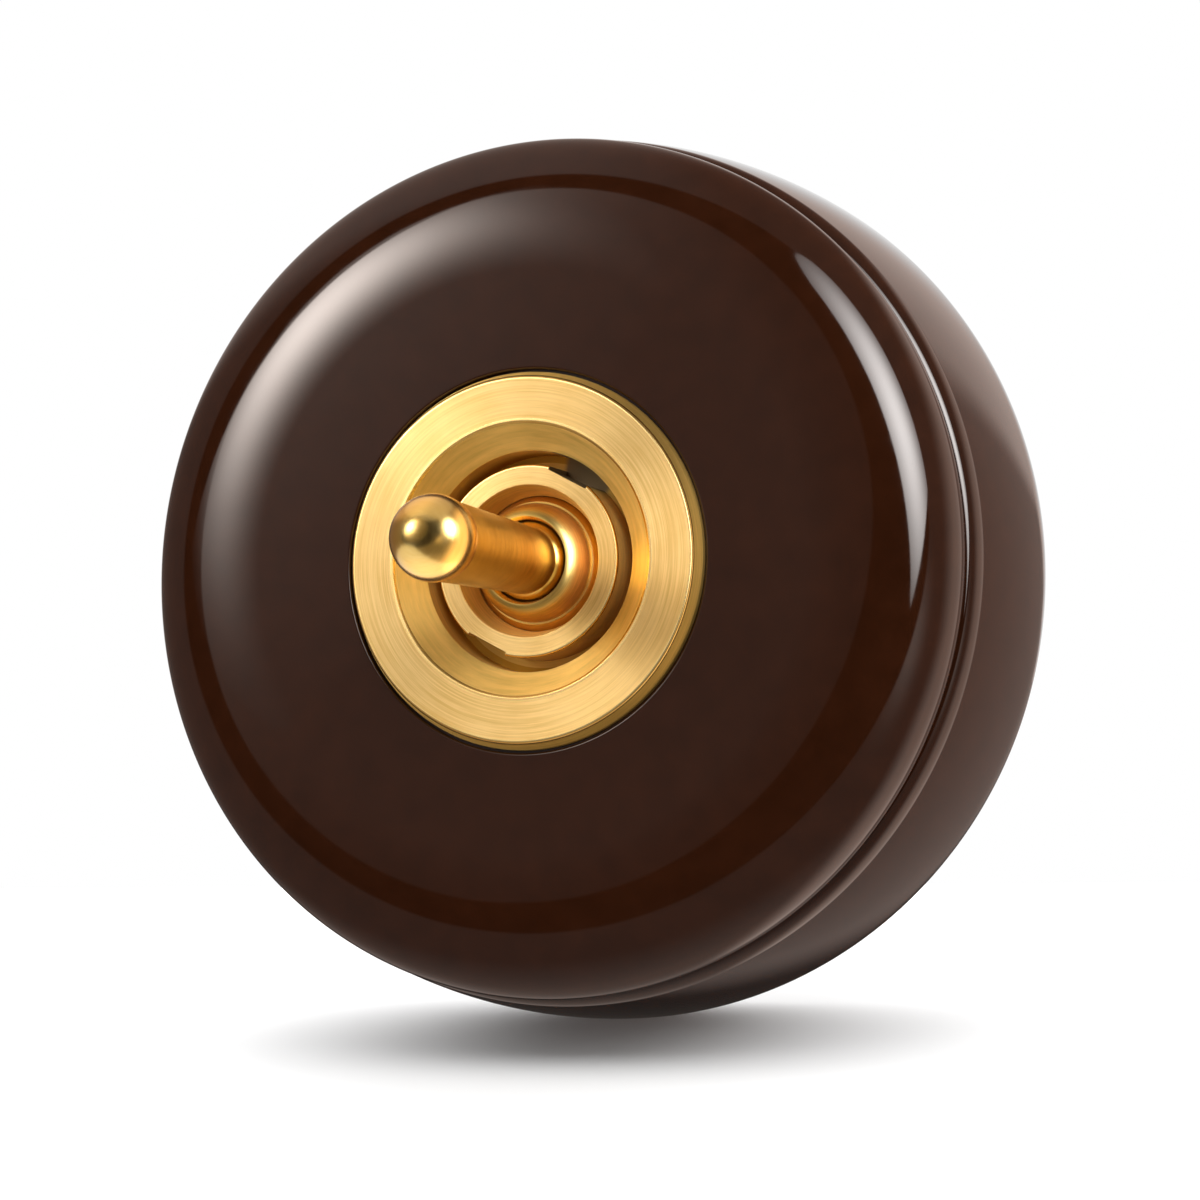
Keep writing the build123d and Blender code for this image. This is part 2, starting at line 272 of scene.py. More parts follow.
def block(x_low, x_high, half_width, low, high):
    """A box between two heights, to cut with."""
    work = bmesh.new()
    bmesh.ops.create_cube(work, size=1)
    work.transform(Matrix.Diagonal(((x_high - x_low) * MM, (high - low) * MM, 2 * half_width * MM, 1)))
    work.transform(Matrix.Translation(((x_low + x_high) / 2 * MM, -(low + high) / 2 * MM, 0)))
    mesh = bpy.data.meshes.new("block")
    work.to_mesh(mesh)
    work.free()
    return linked("block", mesh)


def combine(piece, tool, operation):
    """Cuts the tool from the piece, or adds it, and deletes the tool."""
    modifier = piece.modifiers.new("combine", "BOOLEAN")
    modifier.object = tool
    modifier.operation = operation
    modifier.solver = "EXACT"
    graph = bpy.context.evaluated_depsgraph_get()
    mesh = bpy.data.meshes.new_from_object(piece.evaluated_get(graph))
    piece.modifiers.clear()
    piece.data = mesh
    bpy.data.objects.remove(tool)
    return piece


def make_base():
    """Back box: flared side that meets a rounded shoulder, hollow inside, with bosses and holes."""
    rim_radius = base_radius - base_flare
    rise = base_front - base_widest_height
    side_radius = (base_flare**2 + rise**2) / (2 * base_flare)
    side_centre = (base_radius - side_radius, base_widest_height)
    shoulder_rise = rise - base_shoulder
    shoulder_turn = asin(shoulder_rise / (side_radius - base_shoulder))
    shoulder_x = side_centre[0] + (side_radius - base_shoulder) * cos(shoulder_turn)
    shoulder_centre = (shoulder_x, base_front - base_shoulder)
    back_centre = (base_radius - base_back_rounding, base_widest_height)
    inner = rim_radius - base_wall
    points = [(0, 0)]
    points += arc(back_centre, base_back_rounding, base_widest_height, -90, 0, 32)
    points += arc(side_centre, side_radius, side_radius, 0, degrees(shoulder_turn), 40)[1:]
    points += arc(shoulder_centre, base_shoulder, base_shoulder, degrees(shoulder_turn), 90, 16)[1:]
    points += [(inner, base_front), (inner, base_floor, base_inner_fillet), (0, base_floor)]
    piece = turned("base_shell", outline(points), turns_large)
    for x, y in boss_places:
        combine(piece, rod(boss_radius, base_floor - base_shoulder, boss_front, x, y), "UNION")
    for x in (-wall_screw_reach, wall_screw_reach):
        combine(piece, rod(wall_screw_hole_radius, -1, base_floor + 1, x), "DIFFERENCE")
    combine(piece, rod(cable_entry_radius, -1, base_floor + 1, 0, -cable_entry_drop), "DIFFERENCE")
    return smoothed(piece)


def make_cover():
    """Lid: flat front, elliptical rounding, rounded back edge, locating lip and counterbore."""
    side = base_front + cover_back_rounding
    inner_top = cover_front - cover_wall
    lip_radius = base_radius - base_flare - base_wall - cover_lip_clearance
    cavity_radius = lip_radius - cover_lip_wall
    hole = well_radius + well_wall + well_clearance
    bore = plate_radius + plate_clearance
    seat = cover_front - counterbore_depth
    points = [(hole, inner_top), (hole, seat), (bore, seat), (bore, cover_front, counterbore_edge)]
    front_width = cover_radius - cover_flat_radius
    points += arc((cover_flat_radius, side), front_width, cover_front - side, 90, 0, 96)
    back_centre = (cover_radius - cover_back_rounding, side)
    points += arc(back_centre, cover_back_rounding, cover_back_rounding, 0, -90, 32)[1:]
    points += [(lip_radius, base_front), (lip_radius, cover_back), (cavity_radius, cover_back)]
    points += [(cavity_radius, inner_top, cover_inner_fillet)]
    return turned("cover_shell", outline(points), turns_large)


def make_face_plate():
    """Turned dish: bevelled flange, cone and well."""
    seat = cover_front - counterbore_depth
    thread_hole = thread_radius + thread_clearance
    well_outer = well_radius + well_wall
    points = [
        (plate_radius, seat),
        (plate_radius, plate_front - plate_bevel_height, plate_edge),
        (plate_radius - plate_bevel_width, plate_front, plate_edge),
        (cone_radius, plate_front, cone_edge),
        (well_radius, plate_front - cone_depth, cone_edge),
        (well_radius, nut_back),
        (thread_hole, nut_back),
        (thread_hole, plate_back),
        (well_outer, plate_back),
        (well_outer, seat),
    ]
    return turned("turned_dish", outline(points), turns_small)


def make_ring_nut():
    """Ring nut with a coned mouth and two spanner notches in its side."""
    thread_hole = thread_radius + thread_clearance
    points = [
        (nut_radius, nut_back),
        (nut_radius, nut_front, nut_edge),
        (nut_mouth_radius, nut_front, nut_edge / 2),
        (thread_hole, nut_front - nut_mouth_depth),
        (thread_hole, nut_back),
    ]
    piece = turned("turned_nut", outline(points), turns_small)
    floor = nut_radius - notch_depth
    for turn in (notch_angle, notch_angle + 180):
        notch = block(floor, nut_radius + 1, notch_width / 2, nut_back - 1, nut_front + 1)
        notch.data.transform(Matrix.Rotation(-radians(turn), 4, "Y"))
        combine(piece, notch, "DIFFERENCE")
    return smoothed(piece)


def make_bushing():
    """Threaded bushing: domed lip, ball seat, flange and the slots of the pivot pin."""
    seat_radius = pivot_ball_radius + seat_clearance
    hole_height = pivot_height + sqrt(seat_radius**2 - hole_radius**2)
    seat_turn = degrees(asin((hole_height - pivot_height) / seat_radius))
    lip_foot = lip_front - lip_height
    lip_width = lip_foot_radius - lip_crest_radius
    flange_front = bushing_back + bushing_flange
    points = [(seat_radius, bushing_back)]
    points += arc((0, pivot_height), seat_radius, seat_radius, 0, seat_turn, 20)
    points += arc((lip_crest_radius, lip_foot), lip_width, lip_height, 90, 0, 32)
    points += [
        (lip_foot_radius + lip_land, lip_foot, hole_edge / 2),
        (thread_radius, lip_foot - (thread_radius - lip_foot_radius), hole_edge),
        (thread_radius, flange_front),
        (flange_radius, flange_front),
        (flange_radius, bushing_back),
    ]
    piece = turned("turned_bushing", outline(points), turns_small)
    slot = block(-slot_radius, slot_radius, slot_half_width, bushing_back - 1, pivot_height)
    combine(piece, slot, "DIFFERENCE")
    slot_end = cross_rod(slot_half_width, slot_radius, pivot_height)
    return smoothed(combine(piece, slot_end, "DIFFERENCE"))


def make_dolly():
    """Lever: ball end, tapered stem, pivot ball and bored tail with its cross hole."""
    neck_height = pivot_height + sqrt(pivot_ball_radius**2 - dolly_neck_radius**2)
    tail_join = pivot_height - sqrt(pivot_ball_radius**2 - tail_radius**2)
    neck_turn = degrees(asin((neck_height - pivot_height) / pivot_ball_radius))
    tail_turn = degrees(asin((tail_join - pivot_height) / pivot_ball_radius))
    bore_end = dolly_back + plunger_bore_depth
    end_turn = -degrees(acos(dolly_stem_radius / dolly_end_radius))
    points = arc((0, end_height), dolly_end_radius, dolly_end_radius, 90, end_turn, 48)
    points[0] = (0, dolly_front)
    points += arc((0, pivot_height), pivot_ball_radius, pivot_ball_radius, neck_turn, tail_turn, 40)
    points += [(tail_radius, dolly_back), (plunger_bore_radius, dolly_back)]
    points += [(plunger_bore_radius, bore_end), (0, bore_end)]
    piece = turned("turned_lever", outline(points), turns_small)
    cross_hole = cross_rod(pivot_pin_hole_radius, pivot_ball_radius + 1, pivot_height)
    return smoothed(combine(piece, cross_hole, "DIFFERENCE"))


# Materials

def add_node(tree, kind, **settings):
    """A new shader node with its settings."""
    node = tree.nodes.new("ShaderNode" + kind)
    for name, value in settings.items():
        setattr(node, name, value)
    return node


def feed(tree, socket, value):
    """Links an output to a socket, or sets the socket's value."""
    if isinstance(value, bpy.types.NodeSocket):
        tree.links.new(value, socket)
    else:
        socket.default_value = value


def calc(tree, operation, *values):
    """The output of a math node."""
    node = add_node(tree, "Math", operation=operation)
    for socket, value in zip(node.inputs, values):
        feed(tree, socket, value)
    return node.outputs[0]


def times(tree, first, second):
    """The product of two values."""
    return calc(tree, "MULTIPLY", first, second)


def plus(tree, first, second):
    """The sum of two values."""
    return calc(tree, "ADD", first, second)


def minus(tree, first, second):
    """The difference of two values."""
    return calc(tree, "SUBTRACT", first, second)


def square_sum(tree, first, second):
    """The sum of two values' squares."""
    return plus(tree, times(tree, first, first), times(tree, second, second))


def remap(tree, value, low, high, to_low, to_high, smooth=False):
    """A value moved from one range to another, held at the ends."""
    node = add_node(tree, "MapRange", interpolation_type="SMOOTHSTEP" if smooth else "LINEAR")
    names = ("Value", "From Min", "From Max", "To Min", "To Max")
    for name, setting in zip(names, (value, low, high, to_low, to_high)):
        feed(tree, node.inputs[name], setting)
    return node.outputs["Result"]


def blend_colours(tree, share, first, second):
    """A mix of two colours."""
    node = add_node(tree, "Mix", data_type="RGBA")
    feed(tree, node.inputs["Factor"], share)
    for name, colour in (("A", first), ("B", second)):
        feed(tree, node.inputs[name], colour if isinstance(colour, bpy.types.NodeSocket) else (*colour, 1))
    return node.outputs["Result"]


def mix_values(tree, share, first, second):
    """A mix of two values."""
    node = add_node(tree, "Mix", data_type="FLOAT")
    feed(tree, node.inputs["Factor"], share)
    feed(tree, node.inputs["A"], first)
    feed(tree, node.inputs["B"], second)
    return node.outputs["Result"]


def noise(tree, vector, scale, detail=3.0, roughness=0.5):
    """Fractal noise from 0 to 1 on a vector."""
    node = add_node(tree, "TexNoise")
    feed(tree, node.inputs["Vector"], vector)
    node.inputs["Scale"].default_value = scale
    node.inputs["Detail"].default_value = detail
    node.inputs["Roughness"].default_value = roughness
    return node.outputs["Fac"]


def place(tree):
    """Object coordinates in millimetres."""
    node = add_node(tree, "VectorMath", operation="SCALE")
    feed(tree, node.inputs[0], add_node(tree, "TexCoord").outputs["Object"])
    node.inputs["Scale"].default_value = 1 / MM
    return node.outputs[0]


def parts_of(tree, vector):
    """The three outputs of a vector."""
    node = add_node(tree, "SeparateXYZ")
    feed(tree, node.inputs[0], vector)
    return node.outputs


def joined(tree, x, y, z):
    """A vector from three values."""
    node = add_node(tree, "CombineXYZ")
    for socket, value in zip(node.inputs, (x, y, z)):
        feed(tree, socket, value)
    return node.outputs[0]


def bumped(tree, height, strength, depth, normal=None):
    """A normal moved by a height, with the depth in millimetres."""
    node = add_node(tree, "Bump")
    node.inputs["Strength"].default_value = strength
    node.inputs["Distance"].default_value = depth * MM
    feed(tree, node.inputs["Height"], height)
    if normal is not None:
        feed(tree, node.inputs["Normal"], normal)
    return node.outputs["Normal"]


def new_material(name, metallic=0.0, ior=1.5):
    """A material with one principled shader; returns the material, its tree and the shader's sockets."""
    material = bpy.data.materials.new(name)
    material.use_nodes = True
    tree = material.node_tree
    shader = tree.nodes["Principled BSDF"]
    shader.inputs["Metallic"].default_value = metallic
    shader.inputs["IOR"].default_value = ior
    return material, tree, shader.inputs


def brown_moulding():
    """Glossy brown moulding: deep colour with faint mottling, a polish that varies, a trace of waviness."""
    material, tree, sockets = new_material("brown_moulding", ior=1.52)
    here = place(tree)
    mottle = noise(tree, here, 0.35, 4.0, 0.6)
    specks = noise(tree, here, 3.5, 2.0)
    share = plus(tree, times(tree, mottle, 0.8), times(tree, specks, 0.2))
    tone = remap(tree, share, 0.35, 0.65, 0, 1)
    colour = blend_colours(tree, tone, (0.0125, 0.0031, 0.0009), (0.0168, 0.0043, 0.0014))
    feed(tree, sockets["Base Color"], colour)
    feed(tree, sockets["Roughness"], remap(tree, noise(tree, here, 0.6, 5.0), 0.3, 0.7, 0.035, 0.065))
    sockets["Specular Tint"].default_value = (1.0, 0.88, 0.80, 1.0)
    wave = plus(tree, noise(tree, here, 0.12, 1.0), times(tree, noise(tree, here, 1.6, 2.0), 0.03))
    feed(tree, sockets["Normal"], bumped(tree, wave, 0.25, 0.05))
    return material


def axis_distance(tree, here):
    """Distance from the switch's axis."""
    x, _, z = parts_of(tree, here)
    return calc(tree, "SQRT", square_sum(tree, x, z))


def turning_lines(tree, here, fine):
    """Fine lines round the axis that a turning tool leaves, broken along their length."""
    x, y, z = parts_of(tree, here)
    radius = axis_distance(tree, here)
    along = plus(tree, radius, times(tree, y, 0.8))
    safe = calc(tree, "MAXIMUM", radius, smallest_radius)
    turn_x = times(tree, calc(tree, "DIVIDE", x, safe), 1.6)
    turn_z = times(tree, calc(tree, "DIVIDE", z, safe), 1.6)
    return noise(tree, joined(tree, times(tree, along, fine), turn_x, turn_z), 1.0, 4.0, 0.65)


def radial_tangent(tree):
    """The direction round the switch's axis."""
    return add_node(tree, "Tangent", direction_type="RADIAL", axis="Y").outputs[0]


def ring_depth(tree, here):
    """How far a point lies below the front of its own brass ring, for the painted shade and the polished
    edges; the bushing's lip counts as sunk, so that it takes the painted shade of sunk faces.
    """
    radius = axis_distance(tree, here)
    in_dish = calc(tree, "GREATER_THAN", radius, (nut_radius + well_radius) / 2)
    in_nut = calc(tree, "GREATER_THAN", radius, thread_radius + thread_clearance / 2)
    front = mix_values(tree, in_nut, lip_front + lip_shade_offset, nut_front)
    front = mix_values(tree, in_dish, front, plate_front)
    return plus(tree, front, parts_of(tree, here)[1])


def notch_shade_share(tree, here):
    """1 beside the upper spanner notch, where painted shade darkens the brass, and 0 elsewhere."""
    x, _, z = parts_of(tree, here)
    radius = axis_distance(tree, here)
    turn = radians(notch_angle)
    ahead = plus(tree, times(tree, x, cos(turn)), times(tree, z, sin(turn)))
    start, full = [cos(radians(angle)) for angle in notch_shade_turns]
    facing = remap(tree, calc(tree, "DIVIDE", ahead, radius), start, full, 0, 1, smooth=True)
    outside = calc(tree, "GREATER_THAN", radius, nut_radius - notch_depth - notch_shade_margin)
    inside = calc(tree, "LESS_THAN", radius, well_radius + notch_shade_margin / 2)
    return times(tree, facing, times(tree, outside, inside))


def domed_normal(tree, here):
    """The normal of a face that is turned very slightly domed."""
    x, _, z = parts_of(tree, here)
    safe = calc(tree, "MAXIMUM", axis_distance(tree, here), smallest_radius)
    share = calc(tree, "DIVIDE", tan(radians(dome_angle)), safe)
    outward = joined(tree, times(tree, x, share), 0.0, times(tree, z, share))
    total = add_node(tree, "VectorMath", operation="ADD")
    feed(tree, total.inputs[0], add_node(tree, "NewGeometry").outputs["Normal"])
    feed(tree, total.inputs[1], outward)
    unit = add_node(tree, "VectorMath", operation="NORMALIZE")
    feed(tree, unit.inputs[0], total.outputs[0])
    return unit.outputs[0]


def edge_share(tree, here):
    """1 along the rounded edges of the brass fronts, which are polished, and 0 elsewhere."""
    radius = axis_distance(tree, here)
    share = 0.0
    for edge in (plate_radius - plate_bevel_width, cone_radius, nut_radius):
        away = calc(tree, "ABSOLUTE", minus(tree, radius, edge))
        share = calc(tree, "MAXIMUM", remap(tree, away, *polished_edge, 1, 0), share)
    return times(tree, share, remap(tree, ring_depth(tree, here), *polished_depth, 1, 0))


def turned_brass():
    """Turned brass: concentric lines that stretch the light across them, and painted shade: a deeper colour
    on faces below the fronts, darker still deep below them and beside the upper spanner notch.
    """
    material, tree, sockets = new_material("turned_brass", metallic=1.0)
    here = place(tree)
    lines = turning_lines(tree, here, 7.0)
    cloud = noise(tree, here, 0.25, 3.0)
    share = plus(tree, times(tree, lines, 0.8), times(tree, cloud, 0.2))
    tone = remap(tree, share, 0.38, 0.62, 0, 1)
    front = blend_colours(tree, tone, (0.79, 0.435, 0.102), (1.0, 0.615, 0.188))
    # Painted shade: a darker, deeper copy of the brass colour for faces sunk below the ring fronts.
    side = blend_colours(tree, tone, (0.73, 0.415, 0.082), (0.93, 0.535, 0.114))
    depth = ring_depth(tree, here)
    sunk_shade_colour = blend_colours(tree, remap(tree, depth, 0.04, 0.3, 0, 1), front, side)
    # Painted shade: the brass turns dark deep below the fronts, in the gap round the nut and at the bushing's
    # foot.
    gap_shade_colour = blend_colours(tree, remap(tree, depth, 3.0, 5.2, 0, 1, smooth=True), sunk_shade_colour, (0.46, 0.20, 0.018))
    # Painted shade: a dark patch on the sunk faces beside the upper spanner notch.
    painted_notch_shade = times(tree, notch_shade_share(tree, here), remap(tree, depth, 0.1, 0.3, 0, 1))
    colour = blend_colours(tree, painted_notch_shade, gap_shade_colour, (0.20, 0.12, 0.045))
    feed(tree, sockets["Base Color"], colour)
    in_lip = calc(tree, "LESS_THAN", axis_distance(tree, here), thread_radius + thread_clearance / 2)
    polish = calc(tree, "MAXIMUM", edge_share(tree, here), times(tree, in_lip, 0.4))
    feed(tree, sockets["Roughness"], mix_values(tree, polish, remap(tree, lines, 0.3, 0.7, 0.40, 0.48), 0.2))
    grooves = times(tree, minus(tree, lines, 0.5), remap(tree, polish, 0, 0.4, 1, 0.1))
    feed(tree, sockets["Normal"], bumped(tree, grooves, 0.18, 0.02, domed_normal(tree, here)))
    feed(tree, sockets["Tangent"], radial_tangent(tree))
    feed(tree, sockets["Anisotropic"], remap(tree, polish, 0, 1, 0.9, 0.0))
    sockets["Anisotropic Rotation"].default_value = 0.25
    return material


def dolly_brass():
    """Lever brass: a brushed stem and a polished ball end."""
    material, tree, sockets = new_material("dolly_brass", metallic=1.0)
    here = place(tree)
    lines = turning_lines(tree, here, 5.0)
    height = times(tree, parts_of(tree, here)[1], -1.0)
    polish = remap(tree, height, end_height - polish_start, end_height - polish_full, 0, 1, smooth=True)
    tone = remap(tree, lines, 0.35, 0.65, 0, 1)
    stem = blend_colours(tree, tone, (0.73, 0.415, 0.058), (0.95, 0.59, 0.112))
    ball = blend_colours(tree, tone, (0.88, 0.47, 0.09), (0.95, 0.53, 0.12))
    feed(tree, sockets["Base Color"], blend_colours(tree, polish, stem, ball))
    brushed = remap(tree, lines, 0.3, 0.7, 0.20, 0.27)
    polished = remap(tree, lines, 0.3, 0.7, 0.21, 0.26)
    feed(tree, sockets["Roughness"], mix_values(tree, polish, brushed, polished))
    feed(tree, sockets["Normal"], bumped(tree, lines, 0.05, 0.02))
    feed(tree, sockets["Tangent"], radial_tangent(tree))
    feed(tree, sockets["Anisotropic"], remap(tree, polish, 0, 1, 0.7, 0.0))
    sockets["Anisotropic Rotation"].default_value = 0.25
    return material


def inner_metal(name, pale, deep, rough, grain):
    """Metal of the hidden pieces: rolled grain, uneven tone and finish."""
    material, tree, sockets = new_material(name, metallic=1.0)
    here = place(tree)
    x, y, z = parts_of(tree, here)
    rolled = noise(tree, joined(tree, times(tree, x, grain), y, z), 2.0, 4.0, 0.6)
    cloud = noise(tree, here, 0.5, 3.0)
    share = plus(tree, times(tree, rolled, 0.5), times(tree, cloud, 0.5))
    feed(tree, sockets["Base Color"], blend_colours(tree, remap(tree, share, 0.35, 0.65, 0, 1), deep, pale))
    feed(tree, sockets["Roughness"], remap(tree, rolled, 0.3, 0.7, rough - 0.06, rough + 0.06))
    feed(tree, sockets["Normal"], bumped(tree, rolled, 0.15, 0.02))
    return material


def inner_moulding(name, pale, deep, rough, grain):
    """Insulating material of the hidden pieces: faint specks and an uneven surface."""
    material, tree, sockets = new_material(name)
    here = place(tree)
    cloud = noise(tree, here, 0.4, 4.0)
    specks = noise(tree, here, grain, 2.0)
    share = plus(tree, times(tree, specks, 0.5), times(tree, cloud, 0.5))
    feed(tree, sockets["Base Color"], blend_colours(tree, remap(tree, share, 0.35, 0.65, 0, 1), deep, pale))
    feed(tree, sockets["Roughness"], remap(tree, cloud, 0.3, 0.7, rough - 0.05, rough + 0.05))
    feed(tree, sockets["Normal"], bumped(tree, specks, 0.2, 0.02))
    return material


materials = {
    "brown_moulding": brown_moulding(),
    "turned_brass": turned_brass(),
    "dolly_brass": dolly_brass(),
    "strap_brass": inner_metal("strap_brass", (0.75, 0.54, 0.24), (0.62, 0.42, 0.17), 0.34, 0.2),
    "steel": inner_metal("steel", (0.58, 0.58, 0.59), (0.45, 0.45, 0.47), 0.32, 0.4),
    "silver": inner_metal("silver", (0.85, 0.84, 0.81), (0.74, 0.73, 0.71), 0.25, 0.6),
    "porcelain": inner_moulding("porcelain", (0.72, 0.69, 0.61), (0.64, 0.61, 0.53), 0.2, 2.0),
    "fibre": inner_moulding("fibre", (0.16, 0.035, 0.02), (0.11, 0.022, 0.012), 0.55, 5.0),
}

# Pieces that stand for the turned and moulded nodes

shells = {
    "base": (make_base, "case"),
    "cover": (make_cover, "case"),
    "face_plate": (make_face_plate, "case"),
    "ring_nut": (make_ring_nut, "case"),
    "bushing": (make_bushing, "case"),
    "dolly": (make_dolly, "dolly"),
}
slot_of = {row["node"]: row["material_slot"] for row in frame["record"]["subparts"]}
group_names = ("moulded", "rings", "bushing", "dolly", "all")
light_groups = {name: bpy.data.collections.new(name) for name in group_names}
light_group_of = {"base": "moulded", "cover": "moulded", "bushing": "bushing", "dolly": "dolly"}

for node, shape in frame["nodes"].items():
    light_groups["rings"].objects.link(shape)
    for slot in shape.material_slots:
        slot.material = materials[slot_of[node]]

for node, (make, body) in shells.items():
    piece = make()
    piece.data.materials.clear()
    piece.data.materials.append(materials[slot_of[node]])
    light_groups[light_group_of.get(node, "rings")].objects.link(piece)
    light_groups["all"].objects.link(piece)
    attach(piece, body)
    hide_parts(node)

# Camera at the photograph's angle

camera_place = Vector((0.12403, -0.32486, -0.03263))
camera_aim = Vector((-0.36847, 0.92517, 0.09103))
camera = linked("camera", bpy.data.cameras.new("camera"))
camera.location = camera_place
camera.rotation_euler = camera_aim.to_track_quat("-Z", "Y").to_euler()
camera.data.lens = 109.4
camera.data.sensor_width = 36
camera.data.clip_start = 0.01
bpy.context.scene.camera = camera

# Floor under the lowest point of the base

floor_reach = 1.5
floor_slope = radians(12)
floor_bend_radius = 0.1
floor_bend_start = 0.045
floor_bend_steps = 12


def floor_material():
    """Plain white floor with a trace of unevenness."""
    material, tree, sockets = new_material("floor_white")
    tone = noise(tree, place(tree), 0.02, 3.0)
    feed(tree, sockets["Base Color"], blend_colours(tree, tone, (0.90, 0.90, 0.90), (0.92, 0.92, 0.92)))
    sockets["Roughness"].default_value = 1.0
    sockets["Specular IOR Level"].default_value = 0.0
    sockets["Emission Color"].default_value = (1, 1, 1, 1)
    sockets["Emission Strength"].default_value = 0.04
    return material


def floor_touch():
    """Depth and height of the point where the sloping floor touches the base's back rounding."""
    steep = tan(floor_slope) * base_widest_height / base_back_rounding
    back = base_widest_height * steep / hypot(1, steep)
    rise = base_back_rounding * (1 - sqrt(1 - (back / base_widest_height) ** 2))
    return (back - base_widest_height) * MM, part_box("base")[0].z + rise * MM


def make_floor():
    """Floor that slopes gently down to the front under the switch and is level behind it."""
    touch_y, touch_z = floor_touch()
    start_z = touch_z + (floor_bend_start - touch_y) * tan(floor_slope)
    front_z = touch_z - (floor_reach + touch_y) * tan(floor_slope)
    profile = [(-floor_reach, front_z), (floor_bend_start, start_z)]
    for step in range(1, floor_bend_steps + 1):
        turn = floor_slope * (1 - step / floor_bend_steps)
        run = floor_bend_radius * (sin(floor_slope) - sin(turn))
        profile.append((floor_bend_start + run, start_z + floor_bend_radius * (cos(turn) - cos(floor_slope))))
    profile.append((floor_reach, profile[-1][1]))
    vertices = [(side * floor_reach, y, z) for y, z in profile for side in (-1, 1)]
    faces = [(2 * row, 2 * row + 1, 2 * row + 3, 2 * row + 2) for row in range(len(profile) - 1)]
    mesh = bpy.data.meshes.new("floor")
    mesh.from_pydata(vertices, [], faces)
    return smoothed(linked("floor", mesh))


floor = make_floor()
floor.data.materials.append(floor_material())
floor.visible_glossy = False

# Studio light: angles in degrees from the straight front view, to the right and up

panel = {"centre": (-23.0, 14.0), "half": (32.5, 27.5), "tilt": 24.7}
surround = {"centre": (-11.5, 13.0), "half": (57.5, 40.0), "tilt": 8.0}
panel_level = 0.11
surround_level = 0.015
room_level = 0.20
left_glow = 0.36
left_glow_rise = (36.0, 54.0)
left_glow_end = (-30.0, 10.0)
floor_glow = 0.55
floor_glow_end = (-88.0, -45.0)
low_glow = 0.9
low_glow_centre = (36.0, -7.0)
low_glow_reach = 10.0
side_level = 1.45
side_rise = (62.0, 100.0)
side_low_edge = -14.0
side_low_lean = 0.6
side_high_edge = 50.0
side_high_lean = 0.3
rear_level = 0.36
rear_top_level = 0.9
rear_top_rise = (95.0, 125.0)
rear_start = (132.0, 142.0)
warm_rise = (60.0, 100.0)
skirt_level = 1.6
skirt_centre = (-38.0, 27.0)
skirt_turn = 139.5
skirt_depth = 11.0
skirt_width = 32.0
backdrop_angle = 30.0
backdrop_rise = 0.06
toe_aim = Vector((-0.42, 0.88, -0.22))
toe_angle = 28.0
toe_level = 0.04
edge_softness = 0.02

lamp_distance = 2.5
cut_softness = 0.5
neutral = (1.0, 1.0, 1.0)
cool = (1.0, 1.09, 1.17)
warm_room = (1.03, 0.86, 0.78)
pale = (1.0, 1.14, 1.6)
white_gold = (1.0, 1.28, 2.1)


def lamp_plan(right, up, half, level, fall=(1.0, 1.0), tilt=0.0, cuts=(), colour=neutral):
    """A lamp's direction, half size, level, bell-shaped fall, and straight cuts by turn and distance."""
    plan = {"right": right, "up": up, "half": half, "level": level}
    return plan | {"fall": fall, "tilt": tilt, "cuts": cuts, "colour": colour}


def hot_spot(level, colour=neutral):
    """The bright lamp up on the left, cut off straight on its far side."""
    return lamp_plan(-40, 24, (24, 24), level, (5.8, 5.8), cuts=[(skirt_turn, 6.7)], colour=colour)


lamps = {
    "moulded": {
        "hot_spot": hot_spot(16),
        "strip": lamp_plan(31, 24, (13.5, 28), 17, (1.6, 2.2), 12, [(182, 9.3), (-57, 15)], cool),
    },
    "rings": {
        "ring_hot": hot_spot(8, pale),
        "ring_side": lamp_plan(29.5, 16, (14.5, 25), 4.6, (1.15, 1.15), 10, [(180, 10.5)], pale),
        "ring_top": lamp_plan(-14, 32, (12, 12), 3.6, (2, 2), colour=pale),
        "ring_fill": lamp_plan(-23, 8, (50, 45), 0.62, colour=pale),
    },
    "bushing": {
        "bushing_fill": lamp_plan(-23, 8, (24, 24), 0.6, colour=pale),
        "bushing_side": lamp_plan(44, 18, (28, 28), 11, (1.0, 1.0), 6, [(180, 23)], white_gold),
    },
    "dolly": {
        "dolly_hot": hot_spot(11, white_gold),
        "dolly_side": lamp_plan(66, 25, (18, 24), 13, (1.6, 1.6), colour=white_gold),
        "dolly_top": lamp_plan(-10, 85, (50, 40), 0.5, (0.5, 0.5), colour=pale),
        "dolly_low": lamp_plan(-40, -95, (70, 48), 0.78, (0.2, 0.2), colour=white_gold),
    },
}


def turned_pair(tree, right, up, centre, turn):
    """A direction's two distances from a centre, along axes turned by an angle."""
    off_right = minus(tree, right, centre[0])
    off_up = minus(tree, up, centre[1])
    ahead = cos(radians(turn))
    aside = sin(radians(turn))
    first = plus(tree, times(tree, off_right, ahead), times(tree, off_up, aside))
    second = minus(tree, times(tree, off_up, ahead), times(tree, off_right, aside))
    return first, second


def ellipse_share(tree, right, up, shape):
    """1 inside an ellipse of directions and 0 outside it."""
    first, second = turned_pair(tree, right, up, shape["centre"], shape["tilt"])
    across = calc(tree, "DIVIDE", first, shape["half"][0])
    along = calc(tree, "DIVIDE", second, shape["half"][1])
    reached = calc(tree, "SQRT", square_sum(tree, across, along))
    return remap(tree, reached, 1 - edge_softness, 1 + edge_softness, 1, 0, smooth=True)


def bell(tree, squares):
    """A bell-shaped fall from 1 over a squared distance."""
    return calc(tree, "EXPONENT", times(tree, squares, -1.0))


